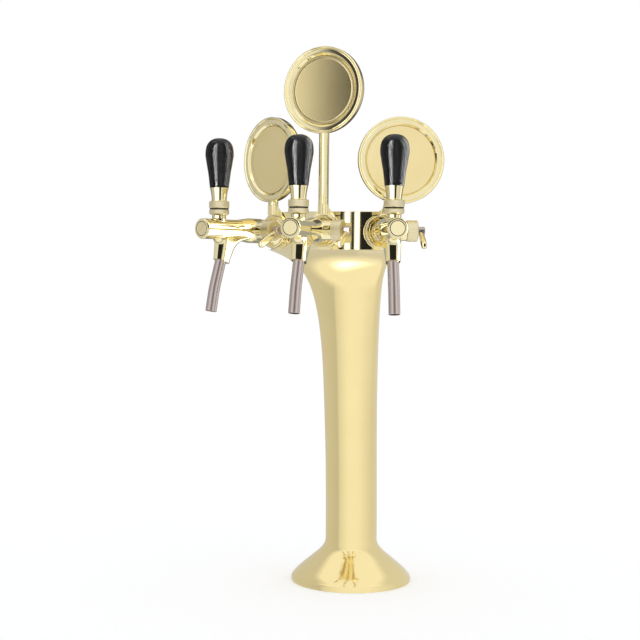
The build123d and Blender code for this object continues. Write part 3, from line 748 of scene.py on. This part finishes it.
def soften(piece, voxel, passes):
    """Melts a joined piece into one closed skin of voxel mm and rubs its corners round."""
    pick(piece)
    melt = piece.modifiers.new("melt", "REMESH")
    melt.mode = "VOXEL"
    melt.voxel_size = voxel * MM
    bpy.ops.object.modifier_apply(modifier="melt")
    rub = piece.modifiers.new("rub", "SMOOTH")
    rub.factor = 0.5
    rub.iterations = passes
    bpy.ops.object.modifier_apply(modifier="rub")
    return piece


def copied(piece, name, place):
    """A copy of a piece with its own mesh, set in place."""
    twin = piece.copy()
    twin.data = piece.data.copy()
    twin.name = name
    twin.data.name = name
    bpy.context.scene.collection.objects.link(twin)
    twin.data.transform(place)
    return twin


def wrapped(circles, segments=72):
    """Outline drawn tight round (x, y, radius) circles, as points in mm."""
    points = []
    for k in range(segments):
        angle = 2 * math.pi * (k + 0.5) / segments
        nx, ny = math.cos(angle), math.sin(angle)
        x, y, radius = max(circles, key=lambda c: c[0] * nx + c[1] * ny + c[2])
        points.append((x + radius * nx, y + radius * ny))
    return points


def spout_ring(u, h):
    """One level of the spout and its web, wrapped round the spout, its front fillet and the web's rear edge."""
    t = min(max((h + 38.0) / 28.0, 0.0), 1.0)
    spout_u = SPOUT_U - 4.3 - 0.153 * h
    fillet_u = spout_u + 9.0 * max((h + 22.0) / 13.0, 0.0) ** 2
    circles = [(0.0, -spout_u, SPOUT_R + 1.3 * t), (0.0, -fillet_u, SPOUT_R - 0.2), (0.0, -u, 8.0 + 3.2 * t)]
    return [Vector((x, y, h)) * MM for x, y in wrapped(circles)]


body = lathe("tap_casting", [
    (13.4, 9.0), (14.6, 20.0), (BULGE_R, 28.0), (BULGE_R, 45.0), (14.0, 54.0), (12.7, 63.0), (BARREL_R, 72.0),
    (BARREL_R, FRONT_U - 1.2), (11.4, FRONT_U)], FORWARD)
rings = [spout_ring(u, h) for u, h in smooth_line(WEB_LINE, 4, (0.83, -0.56), (0.0, -1.0))]
carve(body, stacked("spout", rings, capped=True), "UNION")
carve(body, lathe("lever_boss", [(8.7, 0.0), (8.7, 13.0)], at_tap(0, LEVER_U, 0)), "UNION")
carve(body, lathe("side_boss", [(11.8, 0.0), (11.8, 24.0)], at_tap(0, SPINDLE_U, 0) @ SIDEWAYS), "UNION")

soften(body, 0.5, 14)
bpy.ops.object.select_all(action="DESELECT")
bpy.ops.mesh.primitive_cube_add(size=0.08)
drills = bpy.context.object
drills.data.transform(OUTLET @ Matrix.Translation((0, 0, 0.04)))
for drill in (
        lathe("bore", [(8.0, 0.0), (8.0, 16.0), (7.0, 16.0), (9.4, 56.0), (9.4, 72.0), (6.05, 76.5), (6.05, 86.0),
                       (9.05, 88.0), (9.05, FRONT_U + 1)], FORWARD),
        lathe("socket", [(6.77, -14.0), (6.77, 1.0)], OUTLET, segments=64),
        lathe("drop", [(4.8, -30.0), (4.8, 0.0)], at_tap(0, OUTLET_U, 0), segments=48),
        lathe("lever_bore", [(6.0, 0.0), (6.0, 11.2), (7.0, 11.2), (7.0, 14.0)], at_tap(0, LEVER_U, 0)),
        lathe("gland", [(4.6, 0.0), (4.6, 25.0)], at_tap(0, SPINDLE_U, 0) @ SIDEWAYS, segments=48)):
    carve(drills, drill, "UNION")
carve(body, drills)
for side, i in SIDES.items():
    casting = copied(body, f"{side}_casting", tap_frame(i))
    dress(casting, "tower", [f"{side}_tap_body"], tap_gold, angle=60.0)
    by_castings.objects.link(casting)
bpy.data.objects.remove(body)

# ------------------------------------------------------------------ flanges, plugs and collars
# A turned rosette hides the joint at the wall. A slotted plug with a black seal closes the front of each
# barrel, and a low collar on the top boss holds the lever's ball.
by_handles = paper_room("handles", 3.2, [
    (-180, 0.15), (-130, 0.15), (-112, 0.50), (-106, 0.60), (-86, 0.60), (-80, 0.50), (-60, 0.80), (-52, 2.50),
    (-12, 2.50), (-8, 0.90), (2, 0.90), (5, 0.03), (24, 0.03), (28, 0.90), (70, 0.70), (110, 1.40), (116, 0.05),
    (124, 0.05), (128, 0.70), (140, 0.15), (180, 0.15)])


def on_all_taps(piece, name, body, nodes, paint, lit, angle=40.0, turns=(0.0, 0.0, 0.0)):
    """Sets a copy of a piece on every tap, turned about its barrel, and joins the three into one."""
    first, *others = [copied(piece, name, tap_frame(i) @ Matrix.Rotation(math.radians(turn), 4, "Y"))
                      for i, turn in zip(SIDES.values(), turns)]
    bpy.data.objects.remove(piece)
    whole = join(first, *others)
    dress(whole, body, nodes, paint, angle)
    lit.objects.link(whole)


satin_gold = metal("satin_gold", (0.86, 0.77, 0.52), (0.76, 0.67, 0.42), 0.26, 0.16, 0.4, 0.00005)
flange = lathe("flange", [
    (8.0, -1.5), (20.1, -1.5), *round_edge(20.1, -1.1, 0.4, -90, 0, 4), *round_edge(19.15, 1.45, 1.35, 0, 150, 10),
    (17.7, 1.75), (17.1, 1.7), (16.0, 2.6), (15.2, 3.9), (14.6, 5.4), (14.2, 7.0), (13.7, 8.6), (13.4, 9.0),
    (8.0, 9.0), (8.0, -1.5)], FORWARD, segments=128, ring=True)
on_all_taps(flange, "tap_flange", "tower", ["tap_flanges"], tap_gold, by_head)

plug = lathe("plug", [(8.2, 104.0), (8.28, 117.9), (8.28, 118.0), (8.28, FRONT_U - 0.1),
                      *round_edge(7.9, FRONT_U - 0.1, 0.38, 0, 90, 4)], FORWARD)
carve(plug, lathe("guide", [(5.06, 103.0), (5.06, 117.5)], FORWARD, segments=48))
bpy.ops.object.select_all(action="DESELECT")
bpy.ops.mesh.primitive_cube_add(size=1.0)
slit = bpy.context.object
slit.data.transform(at_tap(0, FRONT_U + 0.2, 0) @ Matrix.Diagonal((0.0008, 0.0016, 0.0170, 1.0)))
carve(plug, slit)
on_all_taps(plug, "front_plug", "tower", ["front_plugs"], tap_gold, by_column, turns=(45.0, 12.0, 0.0))

seal = lathe("seal", [
    (8.28, 118.0), (9.02, 118.0), (9.02, FRONT_U - 0.5), *round_edge(8.65, FRONT_U - 0.5, 0.36, 0, 180, 6),
    (8.28, 118.0)], FORWARD, ring=True)
on_all_taps(seal, "plug_seal", "tower", ["plug_seals"], rubber, by_column)

collar = lathe("collar", [
    (5.2, 11.2), (6.98, 11.2), (6.98, 13.0), (8.4, 13.0), *round_edge(7.9, 16.3, 0.5, 0, 90, 4), (4.3, 16.8),
    (4.8, 15.6), (5.06, 14.0), (4.95, 12.9), (4.6, 12.0), (4.2, 11.2), (5.2, 11.2)],
    at_tap(0, LEVER_U, 0), ring=True)
carve(collar, lathe("pin_hole", [(0.96, -6.9), (0.96, 6.9)], at_tap(0, LEVER_U, PIVOT_H) @ SIDEWAYS, segments=24))
on_all_taps(collar, "pivot_collar", "tower", ["pivot_collars"], tap_gold, by_handles)

# ------------------------------------------------------------------ compensators
# A knurled gland on the right of each tap carries a steel spindle. The leaf-shaped paddle on its end is
# cast brass, and it turns the spindle to set the flow.
def knurl(piece, place, low, high, radius, count, depth):
    """Presses a fine diamond pattern into the turned band of a piece between two heights."""
    back = place.inverted()
    for vert in piece.data.vertices:
        p = back @ vert.co / MM
        r = math.hypot(p.x, p.y)
        if low < p.z < high and r > radius - 0.05:
            turn = count * math.atan2(p.y, p.x) / 2
            climb = math.pi * (p.z - low) / 1.1
            press = min(abs(math.sin(turn + climb)), abs(math.sin(turn - climb)))
            p.xy = p.xy * (1 - depth * (1 - press) / r)
            vert.co = place @ (p * MM)


def band(radius, low, high, step=0.3):
    """Evenly stepped (radius, height) points up a turned band."""
    count = max(2, round((high - low) / step))
    return [(radius, low + (high - low) * k / count) for k in range(count + 1)]


place = at_tap(0, SPINDLE_U, 0) @ SIDEWAYS
gland = lathe("gland", [(4.06, 24.0), (12.2, 24.0), *band(12.8, 24.6, 36.4), (12.2, 37.0), (7.0, 37.0), (6.4, 36.0),
                        (4.06, 36.0), (4.06, 24.0)], place, segments=192, ring=True)
knurl(gland, place, 24.9, 36.1, 12.8, 56, 0.28)
on_all_taps(gland, "compensator_gland", "tower", ["compensator_housings"], satin_gold, by_column,
            angle=60.0)

HEAD_R = 5.2
PADDLE_B = 41.1
PADDLE_DROP = 33.0
PADDLE_T = 5.4
STUD_R = 1.6
paddle_way = at_tap(0, SPINDLE_U, 0) @ Matrix.Rotation(math.radians(PADDLE_DROP), 4, "X") @ SIDEWAYS
paddle_way = paddle_way @ Matrix.Rotation(math.radians(-90.0), 4, "Z")
stud_way = paddle_way @ Matrix.Translation((0, 0, PADDLE_B * MM)) @ SIDEWAYS
stud_line = [(STUD_R, 1.2), (STUD_R, HEAD_R + 2.5)]

spindle = lathe("spindle", [(4.0, 5.2), (4.0, 38.0), (4.8, 38.0), (HEAD_R, 38.4), (HEAD_R, 45.0),
                            *round_edge(4.2, 45.2, 1.0, 0, 80, 5)], place, segments=64)
carve(spindle, lathe("pin", [(1.2, 1.2), (1.2, 6.0)], place @ Matrix.Translation((2.6 * MM, 0, 0)), segments=24),
      "UNION")
carve(spindle, lathe("stud_hole", stud_line, stud_way, segments=24))
bpy.ops.object.select_all(action="DESELECT")
bpy.ops.mesh.primitive_circle_add(vertices=72, radius=1.0, fill_type="NGON")
paddle = bpy.context.object
for vert, (x, y) in zip(paddle.data.vertices, wrapped([(7.0, 0.0, 2.6), (24.0, 0.0, 4.5), (31.7, 0.0, 4.3)])):
    vert.co = Vector((x, y, PADDLE_B - PADDLE_T / 2)) * MM
bpy.ops.object.mode_set(mode="EDIT")
bpy.ops.mesh.select_all(action="SELECT")
bpy.ops.mesh.extrude_region_move(TRANSFORM_OT_translate={"value": (0, 0, PADDLE_T * MM)})
bpy.ops.mesh.select_all(action="SELECT")
bpy.ops.mesh.normals_make_consistent(inside=False)
bpy.ops.object.mode_set(mode="OBJECT")
bevel = paddle.modifiers.new("round", "BEVEL")
bevel.width = 1.7 * MM
bevel.segments = 5
bevel.limit_method = "ANGLE"
bpy.ops.object.modifier_apply(modifier="round")
carve(paddle, lathe("head_room", [(HEAD_R, 36.0), (HEAD_R, 46.0)], segments=64))
paddle.data.transform(paddle_way)
carve(paddle, lathe("stud", stud_line, stud_way, segments=24), "UNION")
for side, i in SIDES.items():
    for piece, name, node, paint, slot in ((spindle, "regulator_spindle", "spindle", brushed_steel, "steel"),
                                           (paddle, "regulator_paddle", "paddle", tap_gold, "gold")):
        twin = copied(piece, f"{side}_{name}", tap_frame(i))
        dress(twin, f"{side}_regulator", [f"{side}_{node}"], paint)
        twin.visible_glossy = False
        by_handles.objects.link(twin)
bpy.data.objects.remove(spindle)
bpy.data.objects.remove(paddle)

# ------------------------------------------------------------------ outlets
# A slim stainless tube is pressed into each spout. It leans forward and bends a little back towards plumb,
# and its fine hairlines run along it.
TUBE_R, TUBE_BORE_R = 6.75, 5.6
PRESSED_IN = 12.0
TO_BEND, PAST_BEND = 35.0, 27.5
BEND_R, BEND = 150.0, math.radians(6.0)
tube_steel = metal("tube_steel", (0.62, 0.53, 0.50), (0.59, 0.50, 0.47), 0.17, 0.03, 0.05, 0.000005)
by_outlets = paper_room("outlets", 3.15, [
    (-180, 0.30), (-120, 0.50), (-70, 0.62), (-42, 1.05), (-24, 0.85), (-10, 0.32), (14, 0.30), (26, 0.75),
    (50, 1.10), (80, 0.60), (110, 1.15), (135, 0.50), (180, 0.30)])


def tube_point(s):
    """Centre and direction of the tube, at a length s in mm along it from the spout's mouth."""
    start = TO_BEND - BEND_R * math.tan(BEND / 2)
    turn = min(max(s - start, 0.0) / BEND_R, BEND)
    y = -BEND_R * (1 - math.cos(turn))
    z = min(s, start) + BEND_R * math.sin(turn)
    rest = max(s - start - BEND_R * BEND, 0.0)
    return Vector((0, y - rest * math.sin(turn), z + rest * math.cos(turn))), turn


def tube_ring(s, radius, segments=72):
    """One level of the tube, in metres."""
    centre, turn = tube_point(s)
    across = Vector((0, math.cos(turn), math.sin(turn)))
    angles = [2 * math.pi * k / segments for k in range(segments)]
    return [(centre + radius * (math.cos(a) * Vector((1, 0, 0)) + math.sin(a) * across)) * MM for a in angles]


end = TO_BEND + PAST_BEND - 2 * BEND_R * math.tan(BEND / 2) + BEND_R * BEND
runs = [-PRESSED_IN + (end + PRESSED_IN) * k / 40 for k in range(41)]
rings = [tube_ring(s, TUBE_R) for s in runs[:-1]] + [tube_ring(end - 0.3, TUBE_R), tube_ring(end, TUBE_R - 0.3)]
rings += [tube_ring(end, TUBE_BORE_R + 0.3), tube_ring(end - 0.3, TUBE_BORE_R)]
rings += [tube_ring(s, TUBE_BORE_R) for s in reversed(runs[:-1])] + [tube_ring(-PRESSED_IN, TUBE_R)]
outlet = stacked("outlet", rings)
outlet.data.transform(OUTLET)
for side, i in SIDES.items():
    tube = copied(outlet, f"{side}_outlet", tap_frame(i))
    dress(tube, "tower", [f"{side}_outlet_tube"], tube_steel)
    by_outlets.objects.link(tube)
bpy.data.objects.remove(outlet)

# ------------------------------------------------------------------ handles
# Each handle is a knurled brass lever cup on a ball, a knurled lock ring, a conical polished ferrule and a
# black moulded grip, screwed one on the other. They tip forward together on the ball.
grip_black, tree, shader = new_paint("grip_black")
shader.inputs["Specular IOR Level"].default_value = 0.3
tree.links.new(ramp(tree, noise(tree, 0.03, 4.0), [(0.3, (0.0075, 0.0070, 0.0080)), (0.7, (0.0120, 0.0110, 0.0125))]),
               shader.inputs["Base Color"])
tree.links.new(ramp(tree, noise(tree, 0.008, 5.0, 0.7), [(0.25, 0.15), (0.8, 0.19)]), shader.inputs["Roughness"])
rough_skin(tree, shader, noise(tree, 0.0015, 2.0), 0.00002, 0.4)

BALL_R = 5.0
HOLLOW_R = 9.2
by_grips = paper_room("grips", 3.25, [
    (-180, 0.10), (-130, 0.10), (-112, 0.40), (-80, 0.30), (-50, 0.15), (-42, 16.0), (-30, 16.0), (-14, 0.50),
    (20, 0.92), (28, 0.40), (56, 0.30), (66, 5.00), (130, 5.00), (140, 0.10), (180, 0.10)])
place = at_tap(0, LEVER_U, 0)
ball = round_edge(0.0, PIVOT_H, BALL_R, -68, 60, 16)
hollow = round_edge(0.0, PIVOT_H, HOLLOW_R, 72, 24, 6)
lever = lathe("lever", [
    (0.8, -2.1), (1.7, -1.4), (2.2, 0.0), (1.9, 1.2), (1.8, 9.0), *ball, (2.2, 18.6), (2.2, 22.4), *hollow,
    (9.6, 17.1), (10.8, 17.6), (11.7, 18.4), *band(12.0, 19.0, 23.0), (11.2, 23.8), (9.4, 24.0), (9.4, 25.6),
    (3.0, 25.6), (3.0, 60.0)], place, segments=144)
carve(lever, lathe("pin", [(0.9, -6.7), (0.9, 6.7)], at_tap(0, LEVER_U, PIVOT_H) @ SIDEWAYS, segments=24), "UNION")
knurl(lever, place, 19.2, 22.8, 12.0, 52, 0.28)
lock_ring = lathe("lock_ring", [
    (3.0, 25.6), (9.5, 25.6), (9.5, 25.1), (11.6, 25.1), *band(12.2, 25.9, 32.8), (11.6, 33.4), (3.0, 33.4),
    (3.0, 25.6)], place, segments=144, ring=True)
knurl(lock_ring, place, 26.1, 32.6, 12.2, 52, 0.28)
# Painted shade: a thin black ring between the lever cup and the lock ring stands in for the shadow line in the gap
# between them.
shade_ring = lathe("shade_ring", [
    (9.5, 24.1), (11.2, 24.1), (11.4, 24.3), (11.4, 24.9), (11.2, 25.05), (9.5, 25.05), (9.5, 24.1)],
    place, ring=True)
ferrule = lathe("ferrule", [
    (3.0, 33.4), (9.3, 33.4), *round_edge(9.2, 33.9, 0.45, -60, 70, 5), (8.95, 35.0), (9.05, 37.0), (9.4, 40.5),
    (9.95, 44.0), (10.6, 47.1), (11.05, 48.9), (11.1, 49.5), (3.0, 49.5), (3.0, 33.4)], place, ring=True)
side_line = smooth_line([(11.4, 50.1), (13.3, 66.0), (15.7, 80.0), (17.0, 90.5), (15.0, 101.0), (9.0, 107.2),
                         (0.3, 109.0)], 10, (0.12, 1.0), (-1.0, 0.0))
grip = lathe("grip", [(3.0, 60.5), (3.0, 49.5), (10.9, 49.5), *[tuple(p) for p in side_line]], place, pole=True)
for side, i in SIDES.items():
    for piece, name, nodes, paint, slot, angle, lit in (
            (lever, "lever_cup", [f"{side}_lever"], satin_gold, "gold_satin", 50.0, by_column),
            (shade_ring, "painted_shade_ring", [], rubber, "rubber", 40.0, by_column),
            (lock_ring, "lock_nut", [f"{side}_lock_ring"], satin_gold, "gold_satin", 50.0, by_column),
            (ferrule, "ferrule_cone", [f"{side}_ferrule"], tap_gold, "gold", 40.0, by_handles),
            (grip, "grip_pear", [f"{side}_grip"], grip_black, "grip_black", 50.0, by_grips)):
        twin = copied(piece, f"{side}_{name}", tap_frame(i))
        dress(twin, f"{side}_handle", nodes, paint, angle)
        twin.visible_glossy = piece is not grip
        lit.objects.link(twin)
for piece in (lever, shade_ring, lock_ring, ferrule, grip):
    bpy.data.objects.remove(piece)

# ------------------------------------------------------------------ medallions
# Each tap carries a round brass holder on a pole that stands on a keyhole bracket behind the flange. The
# holder is a deep spun dish with a rolled edge, and a plain polished disc is let into its front.
MEDALLION_R = 53.0
POLE_U = 0.8
FACE_U = 8.0
HEIGHT = {"left": 90.0, "middle": 172.5, "right": 90.0}
LEAN = {"left": 0.0, "middle": 0.0, "right": 14.0}
TURN = {"left": -8.0, "middle": -8.0, "right": 0.0}
disc_gold = metal("disc_gold", (0.955, 0.800, 0.430), (0.925, 0.765, 0.390), 0.10, 0.06, 0.1, 0.00001)
dish_line = [
    (1.0, -15.0), (39.0, -15.0), (43.5, -14.6), (47.5, -13.6), (50.3, -11.9), (52.0, -9.8), (52.8, -7.6),
    (53.0, -6.5), (53.0, -1.2), *round_edge(51.8, -1.2, 1.2, 0, 150, 8), (50.5, -1.1), (50.1, -1.3),
    (49.6, -1.0), (49.1, -0.75), (45.4, -0.7), *round_edge(45.2, -1.5, 0.8, 80, 140, 4), (43.3, -2.6),
    (42.5, -3.4), (42.1, -4.0), (42.0, -5.0), (40.0, -5.0), (40.0, -6.2), (49.5, -6.2), (49.5, -10.0),
    (46.0, -12.0), (40.0, -13.0), (1.0, -13.0)]
dish_line = [(r, u + FACE_U) for r, u in dish_line]
disc_line = [(1.0, 3.0), (41.8, 3.0), (41.8, 4.15), *round_edge(41.5, 4.1, 0.3, 0, 90, 3), (38.6, 4.4), (38.3, 4.22),
             (38.0, 4.22), (37.7, 4.4), (1.0, 4.4)]
by_medallions = paper_room("medallions", 3.3, [
    (-180, 0.12), (-136, 0.12), (-130, 0.60), (-124, 0.60), (-122, 0.05), (-114, 0.05), (-112, 0.58), (-86, 0.62),
    (-82, 0.80), (-80, 0.04), (-68, 0.04), (-66, 1.20), (-54, 0.95), (-51, 0.85), (-49, 0.35), (-47.5, 0.08),
    (-40, 0.04), (-36, 2.00), (-16, 2.00), (-8, 0.92), (22, 0.92), (60, 0.80), (96, 0.85), (99, 0.05), (112, 0.05),
    (115, 0.80), (126, 0.70), (140, 0.12), (180, 0.12)])
for side, i in SIDES.items():
    leant = tap_frame(i) @ Matrix.Rotation(math.radians(LEAN[side]), 4, "Y")
    turned = (Matrix.Translation((0, -POLE_U * MM, HEIGHT[side] * MM))
              @ Matrix.Rotation(math.radians(TURN[side]), 4, "Z") @ Matrix.Translation((0, POLE_U * MM, 0)))
    dish = lathe(f"{side}_dish", dish_line, leant @ turned @ FORWARD, segments=160)
    dress(dish, "tower", [f"{side}_medallion_rim"], tap_gold)
    disc = lathe(f"{side}_disc", disc_line, leant @ turned @ FORWARD, segments=160)
    dress(disc, "tower", [f"{side}_medallion_plate"], disc_gold)
    top = HEIGHT[side] - MEDALLION_R
    pole = lathe(f"{side}_pole", [(3.95, 24.5), (3.95, 33.0), (5.9, 33.0), (6.2, 33.3), (6.2, top + 1.0),
                                  (3.95, top + 1.0), (3.95, top + 8.0)], at_tap(0, POLE_U, 0), segments=64)
    pole.data.transform(leant)
    dress(pole, "tower", [f"{side}_medallion_pole"], tap_gold)
    coat(tap_gold, f"{side}_medallion_bracket")
    for piece in (dish, disc, pole):
        by_medallions.objects.link(piece)
